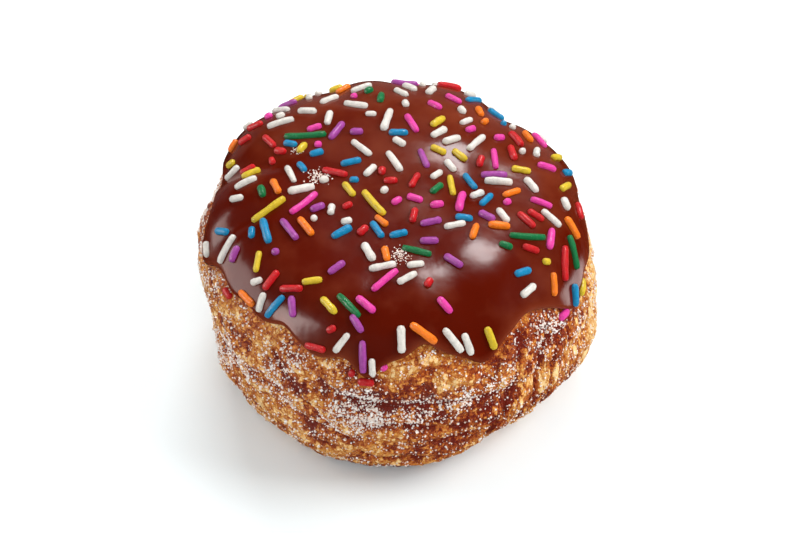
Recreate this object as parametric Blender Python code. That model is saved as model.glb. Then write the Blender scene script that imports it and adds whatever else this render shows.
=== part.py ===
"""An iced doughnut of folded, sugared dough with sprinkles, as two solids in metres.

+Z is up. The doughnut stands on the flat of its base at z = 0, centred on the origin, and its front is -Y.
Places on its skin are given by azimuth, turned from +X towards +Y, and by the length along the skin from
the crown. The icing's map is its skin unrolled flat: the same azimuth and length as polar coordinates.
"""

from collections import namedtuple

import bmesh
import bpy
import numpy as np

MM = 0.001

# The whole doughnut, before folds and swells
WIDEST_RADIUS = 46.1 * MM
HEIGHT = 50.0 * MM
WIDEST_HEIGHT = 18.9 * MM
BASE_RADIUS = 35.0 * MM
DOME_POWER = 3.6
BELLY_POWER = 1.8
OVAL_SHARE = 0.03
OVAL_TURN = np.radians(98.5)
LEAN = 0.021

# The icing and the dough below it
ICING_THICKNESS = 1.9 * MM
LIP_THICKNESS = 1.4 * MM
LIP_RADIUS = 1.1 * MM
ICING_GAP = 0.42 * MM
EDGE_HEIGHT = 39.4 * MM
SEAT_FADE = 24.0 * MM
LEDGE_FADE = 4.0 * MM

# Relief of the bare dough: waves round it, which make layers, and lumps
RELIEF_FADE = 5.0 * MM
BASE_CALM = 4.0 * MM
CROWN_CALM = (18.0 * MM, 36.0 * MM)
LAYER_PITCH = 7.6 * MM
LAYER_DEPTH = 0.75 * MM
LUMP_DEPTH = 0.55 * MM

# Sprinkles: rods with round ends, sunk a little in the icing. Only the longest are solid
SPRINKLE_RADIUS = 0.95 * MM
SPRINKLE_SINK = 0.38
SPRINKLE_TRIES = 2400
SOLID_SPRINKLES = 100
SPRINKLE_SEED = 11
SPRINKLE_LENGTHS = (2.6, 7.4)
SPRINKLE_SPACING = 2.5
SPRINKLE_MARGIN = 2.4
LANDMARK_MARGIN = 1.3
PATCH_SHARE = 0.22
PATCH_PLACE = (17, -1)
PATCH_WIDTH = 6.5

Drip = namedtuple("Drip", "azimuth drop width")
Fold = namedtuple("Fold", "azimuth depth width start end")
Swell = namedtuple("Swell", "x y rise width")
Bulge = namedtuple("Bulge", "azimuth height rise width tall")
Wave = namedtuple("Wave", "around up phase share")
Bare = namedtuple("Bare", "x y radius")
Sprinkle = namedtuple("Sprinkle", "colour place turn length bend")

# Where the icing's edge hangs below its usual height, or stops short of it: degrees, mm, degrees
DRIPS = (
    Drip(178, -1.8, 7), Drip(194, 4.8, 7), Drip(214, 0.9, 5), Drip(228, 0.6, 5), Drip(236, -0.8, 3.5),
    Drip(248, 1.9, 6), Drip(262, 3.9, 4.2), Drip(278, -2.6, 5), Drip(294, 3.0, 5), Drip(311, -1.8, 7),
    Drip(330, 5.4, 7.5), Drip(346, 2.6, 8), Drip(8, 1.2, 9), Drip(34, 3.4, 8), Drip(52, -1.6, 6),
    Drip(74, 4.0, 9), Drip(97, -1.4, 7), Drip(118, 3.0, 8), Drip(150, 4.2, 9),
)
# Creases that run down the shoulder: degrees, mm, degrees, and mm from the crown where each starts and ends
FOLDS = (
    Fold(168, 1.5, 6, 20, 62), Fold(197, 0.8, 5, 22, 50), Fold(86, 1.4, 6, 34, 66), Fold(50, 1.5, 6, 30, 70),
    Fold(8, 1.2, 7, 36, 66), Fold(311, 1.0, 6, 34, 74), Fold(279, 0.8, 5, 44, 72), Fold(130, 1.0, 7, 34, 66),
    Fold(234, 0.8, 6, 44, 74),
)
# Hills and hollows of the top, placed in plan: mm, mm, mm, mm
SWELLS = (
    Swell(20, -19, 0.9, 11), Swell(16, 1, -1.3, 8), Swell(-18, 2, -0.6, 7), Swell(-6, -18, -0.5, 8),
    Swell(-27, -4, 0.8, 9), Swell(3, 17, 0.6, 12), Swell(33, 6, 0.7, 9), Swell(-9, -34, 0.5, 9),
    Swell(-22, 24, 0.4, 10), Swell(2, -4, 0.4, 8),
)
# Bulges of the side, and dents where the rise is below zero: degrees, mm, mm, degrees, mm
BULGES = (
    Bulge(193, 16, -3.0, 11, 10), Bulge(305, 4, -2.6, 17, 9), Bulge(52, 41, -1.9, 12, 9),
    Bulge(112, 43, -1.2, 7, 8), Bulge(162, 36, -1.2, 9, 9), Bulge(88, 43, -0.8, 8, 8),
    Bulge(6, 31, -0.8, 12, 12), Bulge(34, 40, -0.6, 10, 9), Bulge(252, 4, 1.0, 16, 9),
    Bulge(346, 15, 1.3, 13, 10), Bulge(146, 40, 0.7, 10, 10), Bulge(130, 16, 1.0, 16, 9),
    Bulge(80, 12, -1.2, 14, 9),
)
# Waves that push the dough's layers and lumps about: turns round, turns in 10 mm of height, phase, share
LAYER_WARP = (
    Wave(1, 0.05, 0.4, 0.42), Wave(2, -0.11, 2.1, 0.30), Wave(3, 0.16, 4.0, 0.22), Wave(5, 0.1, 1.2, 0.12),
)
LUMPS = (
    Wave(5, 0.35, 0.3, 0.36), Wave(8, -0.5, 1.9, 0.30), Wave(11, 0.42, 3.3, 0.26),
    Wave(13, -0.85, 5.2, 0.22), Wave(3, 0.7, 2.6, 0.30), Wave(17, 0.6, 0.9, 0.16),
)

# Places of the icing with no sprinkles, in plan: mm, mm, mm
BARE = (
    Bare(2, -33, 25), Bare(-25, -21, 5), Bare(-37, 3, 4), Bare(-4, 37, 5), Bare(30, 27, 4),
    Bare(-31, 10, 4),
)
COLOUR_SHARES = {
    "white": 0.31, "blue": 0.17, "red": 0.12, "pink": 0.11, "yellow": 0.09, "orange": 0.08, "purple": 0.07,
    "green": 0.05,
}
# The sprinkles plainest to see: place in plan, mm, mm, then turn from +X in degrees and length in mm
LANDMARKS = {
    "green": (
        (-20.5, 15, 0, 10), (4.3, -21.7, -18, 6.5), (28, -15, 10, 8.7), (38, -14, -70, 8),
        (-9.9, -35, -47, 6.7), (8.7, -2.7, 52, 4.3),
    ),
    "white": (
        (-26, 20, 12, 6.5), (-7.8, 10, -49, 6.4), (17.8, 13, 55, 6.5), (22.5, 1, -5, 6.5),
        (-2.2, 19.3, 78, 7.5), (-20.8, -3.3, 18, 6.3), (-36.5, -15, 50, 7), (1, -43, -88, 5.5),
        (12, -41.7, -45, 6.2),
        (-12, -43.4, 45, 5), (-3, -26, 15, 6), (-29.4, -31, 60, 4.2), (-23.3, 1.8, -72, 6.1),
        (-6, -22, -65, 5.2), (2.2, -29, 33, 4.8), (14.7, -40.5, -62, 4.8), (-9.3, 26, -25, 6),
    ),
    "yellow": (
        (-27.8, -8.3, 33, 9.2), (-4.9, -7.8, -54, 8.3), (12, -1, -85, 6.7), (20.8, -41, -58, 5),
        (-29.5, -21.5, 80, 5), (-10.4, -3.6, -60, 5), (-17.7, -28.8, 5, 4.5), (-14, -34.5, -48, 4.8),
        (27.5, 5, -8, 4.5),
    ),
    "pink": (
        (-20.2, -7.5, 48, 8.5), (3.4, 18, -68, 6.2), (-2.5, -29.5, 45, 7.5), (21.8, 8, -85, 6.3),
        (33, -14, 80, 5.8), (-6.4, -35, -40, 5), (10, -34.7, -48, 4.2),
    ),
    "red": (
        (-13.6, 2.2, -21, 6.2), (36, -18, -88, 8.5), (-26.4, -26.6, 45, 5), (-17.6, -42.4, -18, 5),
        (25.8, 10.7, -80, 5.3), (-22, -29.6, -8, 5.4), (28, -10.5, -45, 5),
    ),
    "orange": (
        (5.6, -40.5, -32, 6.6), (-19.5, -14.5, -55, 5.9), (25.2, -2.5, 30, 4.8), (-31.5, -27.5, -50, 5.5),
        (-26.3, -2.3, -70, 5), (-2.3, -22.5, -80, 4), (16.6, -16, 72, 4.6),
    ),
    "blue": (
        (-28, -14.5, -75, 7), (-28, -35, 35, 6), (16.2, 1, -63, 5.5), (-10.1, 5.5, 15, 5),
        (26.5, -24.5, 28, 4.3), (-11.8, -16.3, 36, 5.2), (-4.2, -15.6, -60, 4.8),
    ),
    "purple": (
        (-13.5, 16, 59, 6), (-23, -15, -56, 6.8), (-7, -43.5, 88, 6.7), (-8.2, -38.4, -58, 4.2),
        (6, 6.6, -70, 5.7), (12, -24.3, -38, 4.7), (-12.7, -26, 40, 4.5),
    ),
}


def smooth_step(value, start, end):
    """0 up to start, 1 from end, and a smooth rise between them."""
    share = np.clip((value - start) / (end - start), 0, 1)
    return share * share * (3 - 2 * share)


def turn_between(azimuth, other):
    """Smallest angle from other to azimuth, in degrees, from -180 to 180."""
    return (np.degrees(azimuth) - other + 180) % 360 - 180


def outline():
    """The half outline, crown to base centre: length along it, radius, height, and its normal (out, up)."""
    angle = np.linspace(0, np.pi / 2, 400)
    rise = HEIGHT - WIDEST_HEIGHT
    dome = (
        (np.sin(angle) / WIDEST_RADIUS) ** DOME_POWER + (np.cos(angle) / rise) ** DOME_POWER
    ) ** (-1 / DOME_POWER)
    overhang = WIDEST_RADIUS - BASE_RADIUS
    belly = (
        (np.cos(angle) / overhang) ** BELLY_POWER + (np.sin(angle) / WIDEST_HEIGHT) ** BELLY_POWER
    ) ** (-1 / BELLY_POWER)
    flat = np.linspace(BASE_RADIUS, 0, 100)[1:]
    radius = np.concatenate([dome * np.sin(angle), BASE_RADIUS + (belly * np.cos(angle))[1:], flat])
    height = np.concatenate([
        WIDEST_HEIGHT + dome * np.cos(angle), WIDEST_HEIGHT - (belly * np.sin(angle))[1:], flat * 0,
    ])
    along = np.concatenate([[0], np.cumsum(np.hypot(np.diff(radius), np.diff(height)))])
    out = -np.gradient(height, along)
    up = np.gradient(radius, along)
    return along, radius, height, out, up


ALONG, RADIUS, RISE, OUT, UP = outline()
BASE_RIM = ALONG[-1] - BASE_RADIUS
WIDEST_ALONG = np.interp(-WIDEST_HEIGHT, -RISE, ALONG)


def skin(azimuth, along, proud):
    """Points of the doughnut's skin at that azimuth and length from the crown, raised by proud.

    The half outline is turned about +Z, drawn out into a slight oval, creased by the folds, raised by the
    swells and leant over, so that the flat base stays flat.
    """
    radius = np.interp(along, ALONG, RADIUS)
    out = np.interp(along, ALONG, OUT)
    up = np.interp(along, ALONG, UP)
    oval = 1 + OVAL_SHARE * np.cos(2 * (azimuth - OVAL_TURN))
    for fold in FOLDS:
        across = np.exp(-(turn_between(azimuth, fold.azimuth) / fold.width) ** 2)
        middle = 0.5 * (fold.start + fold.end)
        down = smooth_step(along / MM, fold.start, middle) * (1 - smooth_step(along / MM, middle, fold.end))
        proud = proud - fold.depth * MM * across * down
    side = smooth_step(BASE_RIM - along, 0, BASE_CALM) * smooth_step(radius, *CROWN_CALM)
    for bulge in BULGES:
        away = (turn_between(azimuth, bulge.azimuth) / bulge.width) ** 2
        away = away + ((np.interp(along, ALONG, RISE) / MM - bulge.height) / bulge.tall) ** 2
        proud = proud + bulge.rise * MM * side * np.exp(-away)
    over = smooth_step(WIDEST_ALONG - along, 0, 0.3 * WIDEST_ALONG)
    x = radius * oval * np.cos(azimuth)
    y = radius * oval * np.sin(azimuth)
    for swell in SWELLS:
        away = ((x / MM - swell.x) ** 2 + (y / MM - swell.y) ** 2) / swell.width**2
        proud = proud + swell.rise * MM * over * np.exp(-away)
    radius = (radius + out * proud) * oval
    height = np.interp(along, ALONG, RISE) + up * proud
    x = radius * np.cos(azimuth)
    y = radius * np.sin(azimuth)
    return np.stack([x, y, np.maximum(height * (1 - LEAN * x / HEIGHT), 0)], axis=-1)


def icing_edge(azimuth):
    """Length from the crown to the icing's edge, which the drips lower and raise."""
    height = np.full(np.shape(azimuth), EDGE_HEIGHT)
    for drip in DRIPS:
        height = height - drip.drop * MM * np.exp(-(turn_between(azimuth, drip.azimuth) / drip.width) ** 2)
    return np.interp(-height, -RISE, ALONG)


def seat(inside):
    """Depth of the dough below the skin, that far inside the icing's edge, or outside it if negative."""
    under = LIP_THICKNESS / 2 + (ICING_THICKNESS - LIP_THICKNESS / 2) * smooth_step(inside, 0, SEAT_FADE)
    ledge = LIP_THICKNESS / 2 * (1 - smooth_step(-inside, 0, LEDGE_FADE))
    return np.where(inside > 0, under, ledge)


def waves(azimuth, height, rows):
    """Sum of waves that go a whole number of times round the doughnut and lean with height."""
    total = np.zeros(np.shape(azimuth))
    for wave in rows:
        total = total + wave.share * np.sin(
            wave.around * azimuth + 2 * np.pi * wave.up * height / (10 * MM) + wave.phase
        )
    return total


def dough_relief(azimuth, along, edge):
    """How far the bare dough stands proud: rounded layers and lumps, and none below the icing."""
    height = np.interp(along, ALONG, RISE)
    layer = np.mod(height / LAYER_PITCH + waves(azimuth, height, LAYER_WARP), 1)
    shelf = np.sin(np.pi * layer**0.7) - 0.5
    lump = waves(azimuth, height, LUMPS)
    shown = smooth_step(along - edge, 0, RELIEF_FADE) * smooth_step(BASE_RIM - along, 0, BASE_CALM)
    return shown * (LAYER_DEPTH * shelf + LUMP_DEPTH * lump)


def dough_point(azimuth, along):
    edge = icing_edge(azimuth)
    return skin(azimuth, along, dough_relief(azimuth, along, edge) - seat(edge - along))


def icing_top(azimuth, along):
    """The icing's upper face, rounded off towards its edge."""
    inside = np.maximum(icing_edge(azimuth) - along, 0)
    lip = np.sqrt(np.clip(1 - (1 - inside / LIP_RADIUS) ** 2, 0, 1))
    lip = np.where(inside > LIP_RADIUS, 1, lip)
    floor = ICING_GAP - seat(inside)
    crown = LIP_THICKNESS / 2 * (1 - smooth_step(inside, 0, SEAT_FADE))
    return skin(azimuth, along, floor + lip * (crown - floor))


def icing_underside(azimuth, along):
    inside = np.maximum(icing_edge(azimuth) - along, 0)
    return skin(azimuth, along, ICING_GAP - seat(inside))


def unrolled(x, y):
    """Where the place x, y of the top, in plan, lands on the icing's map, in mm."""
    azimuth = np.arctan2(y, x)
    oval = 1 + OVAL_SHARE * np.cos(2 * (azimuth - OVAL_TURN))
    above = ALONG < WIDEST_ALONG
    along = np.interp(np.hypot(x, y) * MM / oval, RADIUS[above], ALONG[above]) / MM
    return np.array([along * np.cos(azimuth), along * np.sin(azimuth)])


def spine(sprinkle, shares):
    """The sprinkle's middle line on the map: a straight line, or a bow where it is bent."""
    turn = np.radians(sprinkle.turn)
    way = np.array([np.cos(turn), np.sin(turn)])
    across = np.array([-way[1], way[0]])
    bow = sprinkle.bend * (1 - 4 * shares**2)
    return sprinkle.place + np.outer(shares * sprinkle.length, way) + np.outer(bow, across)


def inside_edge(line):
    """Least distance of those places of the map inside the icing's edge, in mm."""
    edge = icing_edge(np.arctan2(line[:, 1], line[:, 0])) / MM
    return (edge - np.hypot(line[:, 0], line[:, 1])).min()


def scatter():
    """All the sprinkles, longest first: the landmarks, then random ones wherever there is room for one."""
    shares = np.linspace(-0.5, 0.5, 5)
    placed = []
    for colour, group in LANDMARKS.items():
        for x, y, turn, length in group:
            made = Sprinkle(colour, unrolled(x, y), turn, length, -0.03 * length if length > 8 else 0)
            over = max(LANDMARK_MARGIN - inside_edge(spine(made, shares)), 0)
            placed.append(made._replace(place=made.place * (1 - over / np.hypot(*made.place))))
    taken = np.concatenate([spine(sprinkle, shares) for sprinkle in placed])
    bare = [(unrolled(row.x, row.y), row.radius) for row in BARE]
    draw = np.random.default_rng(SPRINKLE_SEED)
    reach = ALONG[RISE > EDGE_HEIGHT][-1] / MM + 3
    for _ in range(SPRINKLE_TRIES):
        if draw.random() < PATCH_SHARE:
            place = unrolled(*draw.normal(PATCH_PLACE, PATCH_WIDTH))
            spacing = 0.75 * SPRINKLE_SPACING
        else:
            place = draw.uniform(-reach, reach, 2)
            spacing = SPRINKLE_SPACING
        colour = str(draw.choice(list(COLOUR_SHARES), p=list(COLOUR_SHARES.values())))
        length = draw.triangular(SPRINKLE_LENGTHS[0], 4.4, SPRINKLE_LENGTHS[1])
        bend = length * np.clip(draw.normal(-0.03, 0.07), 0, 0.11)
        made = Sprinkle(colour, place, draw.uniform(-90, 90), length, bend)
        line = spine(made, shares)
        apart = np.hypot(*(line[:, None] - taken[None]).transpose(2, 0, 1)).min()
        clear = all(np.hypot(*(place - middle)) > radius for middle, radius in bare)
        if inside_edge(line) > SPRINKLE_MARGIN and apart > spacing and clear:
            placed.append(made)
            taken = np.concatenate([taken, line])
    return sorted(placed, key=lambda sprinkle: -sprinkle.length)


def on_icing(line):
    """Points of the icing's upper face at those places of the map, with its normals there."""
    def at(shift):
        place = (line + shift) * MM
        return icing_top(np.arctan2(place[:, 1], place[:, 0]), np.hypot(place[:, 0], place[:, 1]))
    step = 0.4
    across = at((step, 0)) - at((-step, 0))
    away = at((0, step)) - at((0, -step))
    normal = np.cross(across, away)
    return at((0, 0)), normal / np.linalg.norm(normal, axis=1)[:, None]


def rod(name, sprinkle, sides, collection):
    """A sprinkle: three rings of points round its middle line, and a point at each end."""
    blunt = 0.5 - 0.5 * SPRINKLE_RADIUS / MM / sprinkle.length
    shares = np.array([-0.5, -blunt, 0, blunt, 0.5])
    middle, normal = on_icing(spine(sprinkle, shares))
    along = np.gradient(middle, axis=0)
    side = np.cross(normal, along)
    side = side / np.linalg.norm(side, axis=1)[:, None]
    middle = middle + normal * SPRINKLE_RADIUS * (1 - 2 * SPRINKLE_SINK)
    mesh = bmesh.new()
    rings = []
    for index in (1, 2, 3):
        ring = []
        for turn in np.arange(sides) * 2 * np.pi / sides:
            out = np.cos(turn) * normal[index] + np.sin(turn) * side[index]
            ring.append(mesh.verts.new(middle[index] + SPRINKLE_RADIUS * out))
        rings.append(ring)
    first = mesh.verts.new(middle[0])
    last = mesh.verts.new(middle[4])
    for index in range(sides):
        after = (index + 1) % sides
        mesh.faces.new((first, rings[0][after], rings[0][index]))
        mesh.faces.new((last, rings[2][index], rings[2][after]))
        for near, far in (rings[0:2], rings[1:3]):
            mesh.faces.new((near[index], near[after], far[after], far[index]))
    bmesh.ops.recalc_face_normals(mesh, faces=mesh.faces)
    data = bpy.data.meshes.new(name)
    mesh.to_mesh(data)
    mesh.free()
    made = bpy.data.objects.new(name, data)
    made.hide_render = True
    made.display_type = "WIRE"
    collection.objects.link(made)


def globe(name, segments, rings, collection):
    """A unit UV sphere object, with the azimuth of its points and their share of the way down."""
    sphere = bmesh.new()
    bmesh.ops.create_uvsphere(sphere, u_segments=segments, v_segments=rings, radius=1)
    mesh = bpy.data.meshes.new(name)
    sphere.to_mesh(mesh)
    sphere.free()
    unit = np.empty(len(mesh.vertices) * 3, np.float32)
    mesh.vertices.foreach_get("co", unit)
    unit = unit.reshape(-1, 3).astype(float)
    azimuth = np.arctan2(unit[:, 1], unit[:, 0])
    share = np.arccos(np.clip(unit[:, 2], -1, 1)) / np.pi
    made = bpy.data.objects.new(name, mesh)
    collection.objects.link(made)
    return made, azimuth, share


def set_points(made, points):
    made.data.vertices.foreach_set("co", points.astype(np.float32).ravel())
    made.data.update()


def material(name, colour, roughness, coat=0.0):
    """A Principled BSDF of that base colour, gloss and clear coat."""
    made = bpy.data.materials.new(name)
    made.use_nodes = True
    shader = made.node_tree.nodes["Principled BSDF"]
    shader.inputs["Base Color"].default_value = (*colour, 1)
    shader.inputs["Roughness"].default_value = roughness
    shader.inputs["Metallic"].default_value = 0.0
    shader.inputs["Coat Weight"].default_value = coat
    return made


def make_dough(collection):
    """The whole body of dough: a sphere's rings spread over the skin, closest where the side shows."""
    made, azimuth, share = globe("dough", 72, 31, collection)
    stops = [0, 30 * MM, 45 * MM, BASE_RIM, BASE_RIM + 3 * MM, ALONG[-1]]
    pace = np.interp(ALONG, stops, [0.6, 0.8, 1.4, 1.4, 0.5, 0.15])
    spent = np.concatenate([[0], np.cumsum(0.5 * (pace[1:] + pace[:-1]) * np.diff(ALONG))])
    along = np.interp(share * spent[-1], spent, ALONG)
    set_points(made, dough_point(azimuth, along))
    made.data.materials.append(material("golden dough", (0.50, 0.24, 0.07), 0.7))
    made.data.shade_smooth()
    return made


def make_icing(collection):
    """The icing: a sphere whose upper half is its top, lower half its underside, equator its edge."""
    made, azimuth, share = globe("icing", 90, 20, collection)
    inward = np.abs(2 * share - 1)
    edge = icing_edge(azimuth)
    along = edge * (1 - inward**1.7)
    upper = (share < 0.5)[:, None]
    set_points(made, np.where(upper, icing_top(azimuth, along), icing_underside(azimuth, along)))
    made.data.materials.append(material("chocolate icing", (0.10, 0.022, 0.008), 0.2, 0.6))
    made.data.shade_smooth()
    return made


def fuse_sprinkles(icing):
    """Joins the longest sprinkles to the icing by one union, and removes them as objects of their own."""
    helpers = bpy.data.collections.new("sprinkle helpers")
    helpers.hide_render = True
    bpy.context.scene.collection.children.link(helpers)
    for index, sprinkle in enumerate(scatter()[:SOLID_SPRINKLES]):
        rod(f"sprinkle {index}", sprinkle, 5, helpers)
    union = icing.modifiers.new("sprinkles", "BOOLEAN")
    union.operation = "UNION"
    union.solver = "EXACT"
    union.operand_type = "COLLECTION"
    union.collection = helpers
    with bpy.context.temp_override(object=icing):
        bpy.ops.object.modifier_apply(modifier=union.name)
    for helper in list(helpers.objects):
        bpy.data.objects.remove(helper)
    bpy.data.collections.remove(helpers)
    icing.data.shade_smooth()


def main():
    for old in list(bpy.data.objects):
        bpy.data.objects.remove(old)
    doughnut = bpy.data.collections.new("doughnut")
    bpy.context.scene.collection.children.link(doughnut)
    make_dough(doughnut)
    fuse_sprinkles(make_icing(doughnut))


main()
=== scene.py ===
"""Looks of the iced doughnut: sugared crust, chocolate icing, sprinkles, and a plain studio.

Every shape is a function of azimuth, turned from +X towards +Y, and of the length along the doughnut's skin
from the crown. The icing's map is its skin unrolled flat, with the same azimuth and length as polar
coordinates. Relief and small sizes are in mm, and points leave the shape functions in metres.
"""

from collections import namedtuple

import bpy
import numpy as np
from bpy.props import FloatProperty, FloatVectorProperty, IntProperty, PointerProperty
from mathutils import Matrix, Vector


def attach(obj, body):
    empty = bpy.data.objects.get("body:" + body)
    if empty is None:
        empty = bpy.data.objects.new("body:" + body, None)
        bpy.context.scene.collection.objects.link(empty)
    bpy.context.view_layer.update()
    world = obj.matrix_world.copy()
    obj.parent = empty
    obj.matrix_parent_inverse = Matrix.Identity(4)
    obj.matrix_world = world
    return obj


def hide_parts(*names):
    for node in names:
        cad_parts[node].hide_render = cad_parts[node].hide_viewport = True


bl_info = {
    "name": "Iced Doughnut",
    "version": (1, 0, 0),
    "blender": (4, 5, 0),
    "location": "3D View > Sidebar > Doughnut",
    "description": "Makes the crust, sugar, icing and sprinkles of a doughnut",
    "category": "Add Mesh",
}

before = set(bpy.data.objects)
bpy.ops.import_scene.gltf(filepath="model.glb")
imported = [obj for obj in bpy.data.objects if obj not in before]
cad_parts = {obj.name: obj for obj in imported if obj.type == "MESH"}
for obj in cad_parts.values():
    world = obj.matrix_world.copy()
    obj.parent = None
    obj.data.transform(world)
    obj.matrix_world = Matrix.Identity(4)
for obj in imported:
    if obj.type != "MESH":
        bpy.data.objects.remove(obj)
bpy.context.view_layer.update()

MM = 0.001

# The whole doughnut, before folds and swells
WIDEST_RADIUS = 46.1 * MM
HEIGHT = 50.0 * MM
WIDEST_HEIGHT = 18.9 * MM
BASE_RADIUS = 35.0 * MM
DOME_POWER = 3.6
BELLY_POWER = 1.8
OVAL_SHARE = 0.03
OVAL_TURN = np.radians(98.5)
LEAN = 0.021

# The icing and the dough below it
ICING_THICKNESS = 1.9 * MM
LIP_THICKNESS = 1.4 * MM
LIP_RADIUS = 1.1 * MM
ICING_GAP = 0.42 * MM
EDGE_HEIGHT = 39.4 * MM
SEAT_FADE = 24.0 * MM
LEDGE_FADE = 4.0 * MM
RIPPLE_DEPTH = 0.22 * MM
RIPPLE_FIELD = (7.0, 71)
RIPPLE_FADE = 5.0 * MM
THIN_RIM = 1.1 * MM
# The span over which the icing is painted lighter towards its back, a painted sheen, in metres
PAINTED_BACK_SHEEN = (-22 * MM, 34 * MM)

# Relief of the bare dough: waves round it, which make layers, and lumps
RELIEF_FADE = 5.0 * MM
BASE_CALM = 4.0 * MM
CROWN_CALM = (18.0 * MM, 36.0 * MM)
LAYER_PITCH = 7.6 * MM
LAYER_DEPTH = 0.75 * MM
LUMP_DEPTH = 0.55 * MM

# Sprinkles
SPRINKLE_SINK = 0.38
SPRINKLE_TRIES = 2400
SPRINKLE_SEED = 11
SPRINKLE_LENGTHS = (2.6, 7.4)
USUAL_LENGTH = 4.4
LONG_LENGTH = 8
LONG_BEND = -0.03
END_POWER = 2.6
SPRINKLE_SPACING = 2.5
CROWDING = 0.75
SPRINKLE_MARGIN = 2.4
LANDMARK_MARGIN = 1.3
PATCH_SHARE = 0.22
PATCH_PLACE = (17, -1)
PATCH_WIDTH = 6.5
BIT_SEED = 12
BIT_TRIES = 700
BIT_PATCH_SHARE = 0.3
BIT_LENGTHS = (1.5, 2.8)
BIT_SPACING = 1.9
SEEN_SPACING = 1.2

# Fine relief of the crust: depths and the dough's mean radius in mm, and the slant of its streaks
PUFF_DEPTH = 0.62
GRAIN_DEPTH = 0.14
GIRTH = 43
STREAK_LEAN = 0.35
# Its random fields, each a size in mm and a seed: what bends it, its swellings, grain and crumbs
WARP_FIELDS = ((7, 21), (7, 22), (7, 23))
STREAK_FIELD = (2.3, 31)
LAYER_FIELD = (2.2, 41)
PUFF_FIELD = (3.4, 51)
GRAIN_FIELD = (0.9, 27)
CRUMB_FIELD = (1.5, 33)
# Those of its browning and of the sugar's patches: weight, size in mm, seed
TONE_FIELDS = ((0.22, 6, 28), (0.2, 2.1, 29))
PATCH_FIELDS = ((0.3, 8, 61), (0.4, 2.5, 62))
# Seeds of the sugar grains and of the sprinkles' girths
SUGAR_SEED = 41
ROD_SEED = 51
# A random field's table of values, and the steps through it along each axis
FIELD_VALUES = 4096
FIELD_STEPS = np.array((1619, 31337, 6971))
# Points round and down the crust, its top and base, the icing, its lip and underside, and a sprinkle
CRUST_ROUND = 640
CRUST_DOWN = 132
CRUST_ENDS = 12
ICING_ROUND = 420
ICING_DOWN = 120
ICING_LIP = 13
ICING_UNDER = 40
ROD_SIDES = 9
ROD_RINGS = 9

# Camera and lights: places in metres, seen from the middle of the doughnut
VIEW_TILT = np.radians(45)
VIEW_DISTANCE = 0.499
VIEW_LENS = 98.7
VIEW_SHIFT = (0.0042, -0.0081)
SENSOR_WIDTH = 36
PICTURE_WIDTH = 800
PICTURE_HEIGHT = 533
MIDDLE = np.array([0, 0, HEIGHT / 2])
VIEW_WAY = np.array([0, -np.cos(VIEW_TILT), np.sin(VIEW_TILT)])
AIR_STRENGTH = 0.43
FLOOR_REACH = 3
# The part of the icing's map that the picture's places are looked up on, and the step between tries, in mm
SEEN_REACH = 44
SEEN_STEP = 0.4

Drip = namedtuple("Drip", "azimuth drop width")
Fold = namedtuple("Fold", "azimuth depth width start end")
Swell = namedtuple("Swell", "x y rise width")
Bulge = namedtuple("Bulge", "azimuth height rise width tall")
Wave = namedtuple("Wave", "around up phase share")
Bare = namedtuple("Bare", "x y radius")
PowderAndGlint = namedtuple("PowderAndGlint", "x y spread grains")
Bank = namedtuple("Bank", "azimuth height share width tall")
Seam = namedtuple("Seam", "azimuth height end_azimuth end_height depth width")
Sprinkle = namedtuple("Sprinkle", "colour place turn length bend")
Seen = namedtuple("Seen", "colour across down turn length")
Lamp = namedtuple("Lamp", "name azimuth tilt distance width height power colour mirrored")


def each(kind, *rows):
    """Named tuples of one kind, one from each row."""
    return tuple(kind(*row) for row in rows)


# Where the icing's edge hangs below its usual height, or stops short of it: degrees, mm, degrees
DRIPS = each(
    Drip, (178, -1.8, 7), (194, 4.8, 7), (214, 0.9, 5), (228, 0.6, 5), (236, -0.8, 3.5), (248, 1.9, 6),
    (262, 3.9, 4.2), (278, -2.6, 5), (294, 3.0, 5), (311, -1.8, 7), (330, 5.4, 7.5), (346, 2.6, 8),
    (8, 1.2, 9), (34, 3.4, 8), (52, -1.6, 6), (74, 4.0, 9), (97, -1.4, 7), (118, 3.0, 8), (150, 4.2, 9),
)
# Creases that run down the shoulder: degrees, mm, degrees, and mm from the crown where each starts and ends
FOLDS = each(
    Fold, (168, 1.5, 6, 20, 62), (197, 0.8, 5, 22, 50), (86, 1.4, 6, 34, 66), (50, 1.5, 6, 30, 70),
    (8, 1.2, 7, 36, 66), (311, 1.0, 6, 34, 74), (279, 0.8, 5, 44, 72), (130, 1.0, 7, 34, 66),
    (234, 0.8, 6, 44, 74),
)
# Hills and hollows of the top, placed in plan: mm, mm, mm, mm
SWELLS = each(
    Swell, (20, -19, 0.9, 11), (16, 1, -1.3, 8), (-18, 2, -0.6, 7), (-6, -18, -0.5, 8), (-27, -4, 0.8, 9),
    (3, 17, 0.6, 12), (33, 6, 0.7, 9), (-9, -34, 0.5, 9), (-22, 24, 0.4, 10), (2, -4, 0.4, 8),
)
# Bulges of the side, and dents where the rise is below zero: degrees, mm, mm, degrees, mm
BULGES = each(
    Bulge, (193, 16, -3.0, 11, 10), (305, 4, -2.6, 17, 9), (52, 41, -1.9, 12, 9), (112, 43, -1.2, 7, 8),
    (162, 36, -1.2, 9, 9), (88, 43, -0.8, 8, 8), (6, 31, -0.8, 12, 12), (34, 40, -0.6, 10, 9),
    (252, 4, 1.0, 16, 9), (346, 15, 1.3, 13, 10), (146, 40, 0.7, 10, 10), (130, 16, 1.0, 16, 9),
    (80, 12, -1.2, 14, 9),
)
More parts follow.
